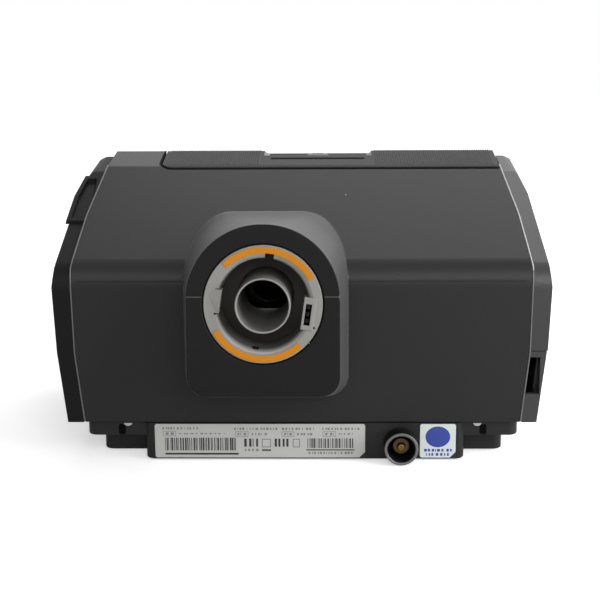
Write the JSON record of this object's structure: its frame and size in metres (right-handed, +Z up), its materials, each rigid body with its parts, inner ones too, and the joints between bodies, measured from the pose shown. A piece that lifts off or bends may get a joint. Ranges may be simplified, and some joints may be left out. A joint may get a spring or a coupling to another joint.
{
  "type": "cpap machine",
  "caption": "Bedside positive-airway-pressure machine with tilted rear air outlet, ribbed top panel, front display and dial, and a humidifier tub that slides out sideways.",
  "frame": {"origin": "on the desk under the middle of the overall box", "axes": "+Z up, the front with the display faces -Y, the air outlet faces +Y, +X to the right as seen from the front, where the humidifier tub slides out"},
  "size_m": [0.205, 0.15, 0.1159],
  "materials": {
    "charcoal": "fine grained moulding",
    "black_plastic": "plain",
    "warm_grey": "satin",
    "orange": "satin",
    "label_grey": "satin film",
    "tag_white": "satin film",
    "rubber": "plain",
    "seal": "plain",
    "clear_tub": "clear",
    "smoke": "smoked",
    "steel": "plain",
    "aluminium": "anodised",
    "brass": "bright",
    "insulator": "plain",
    "bezel": "gloss",
    "inner_plastic": "plain",
    "foam": "open foam",
    "filter_media": "fibre pad",
    "board": "solder mask",
    "chip": "plain"
  },
  "bodies": {
    "root": {"air_filter": "filter_media", "bay_liner": "black_plastic", "blower_base": "inner_plastic", "blower_cover": "inner_plastic", "blower_mounts": "rubber", "board_parts": "chip", "bottom_pan": "charcoal", "button_switches": "black_plastic", "card_socket": "black_plastic", "case_screws": "steel", "contact_pins": "brass", "control_boards": "board", "dial_encoder": "black_plastic", "display_bezel": "bezel", "display_lens": "smoke", "display_module": "inner_plastic", "feet": "rubber", "filter_grille": "black_plastic", "flow_sensor": "chip", "front_shell": "charcoal", "heater_springs": "steel", "heater_tray": "black_plastic", "inlet_insulator": "insulator", "inlet_pin": "brass", "main_board": "board", "motor_bearing": "steel", "motor_stator": "steel", "muffler_box": "inner_plastic", "muffler_foam": "foam", "outlet_cup": "black_plastic", "outlet_duct": "inner_plastic", "outlet_ring": "warm_grey", "outlet_seal": "seal", "outlet_tube": "warm_grey", "power_inlet": "black_plastic", "rating_label": "label_grey", "rear_shell": "charcoal", "ring_marks": "orange", "side_cover": "charcoal", "tag_plate": "tag_white", "top_panel": "charcoal", "tub_window": "smoke"},
    "tub": {"tub_end_cover": "charcoal", "tub_base": "clear_tub", "tub_plate": "steel", "lid_seal": "seal", "tub_lid": "clear_tub", "air_baffle": "clear_tub"},
    "catch": {"tub_catch": "black_plastic"},
    "dial_stem": {"dial_shaft": "steel"},
    "dial": {"dial_knob": "charcoal"},
    "home_key": {"home_button": "charcoal"},
    "start_key": {"start_button": "charcoal"},
    "filter_door": {"filter_cover": "charcoal"},
    "card_door": {"card_cover": "charcoal"},
    "card": {"memory_card": "black_plastic"},
    "heater": {"heater_plate": "aluminium"},
    "rotor": {"impeller": "inner_plastic", "motor_shaft": "steel"}
  },
  "joints": [
    {"name": "tub_slide", "type": "slide", "parent": "root", "child": "tub", "axis": [1, 0, 0], "range_m": [0, 0.12]},
    {"name": "catch_press", "type": "slide", "parent": "tub", "child": "catch", "axis": [0, 0, -1], "range_m": [0, 0.0012], "stiffness_N_per_m": 600, "springref_m": -0.0004},
    {"name": "dial_press", "type": "slide", "parent": "root", "child": "dial_stem", "axis": [0, 1, 0], "range_m": [0, 0.0008], "stiffness_N_per_m": 900, "springref_m": -0.0004},
    {"name": "dial_turn", "type": "hinge", "parent": "dial_stem", "child": "dial", "pos_m": [-0.006, -0.072, 0.04], "axis": [0, -1, 0], "continuous": true},
    {"name": "home_press", "type": "slide", "parent": "root", "child": "home_key", "axis": [0, 1, 0], "range_m": [0, 0.0006], "stiffness_N_per_m": 600, "springref_m": -0.0003},
    {"name": "start_press", "type": "slide", "parent": "root", "child": "start_key", "axis": [0, 0, -1], "range_m": [0, 0.0006], "stiffness_N_per_m": 600, "springref_m": -0.0003},
    {"name": "filter_door_hinge", "type": "hinge", "parent": "root", "child": "filter_door", "pos_m": [-0.1016, -0.0076, 0.033], "axis": [0, 0, 1], "range_deg": [0, 95]},
    {"name": "card_door_hinge", "type": "hinge", "parent": "root", "child": "card_door", "pos_m": [-0.0999, -0.0606, 0.025], "axis": [0, 0, 1], "range_deg": [0, 95]},
    {"name": "card_push", "type": "slide", "parent": "root", "child": "card", "axis": [1, 0, 0], "range_m": [0, 0.001], "stiffness_N_per_m": 400, "springref_m": -0.0004},
    {"name": "heater_float", "type": "slide", "parent": "root", "child": "heater", "axis": [0, 0, -1], "range_m": [0, 0.0015], "stiffness_N_per_m": 1500, "springref_m": -0.0005, "deforming": ["heater_springs"]},
    {"name": "impeller_spin", "type": "hinge", "parent": "root", "child": "rotor", "pos_m": [-0.047, 0.009, 0.06], "axis": [0, 0, 1], "continuous": true}
  ]
}
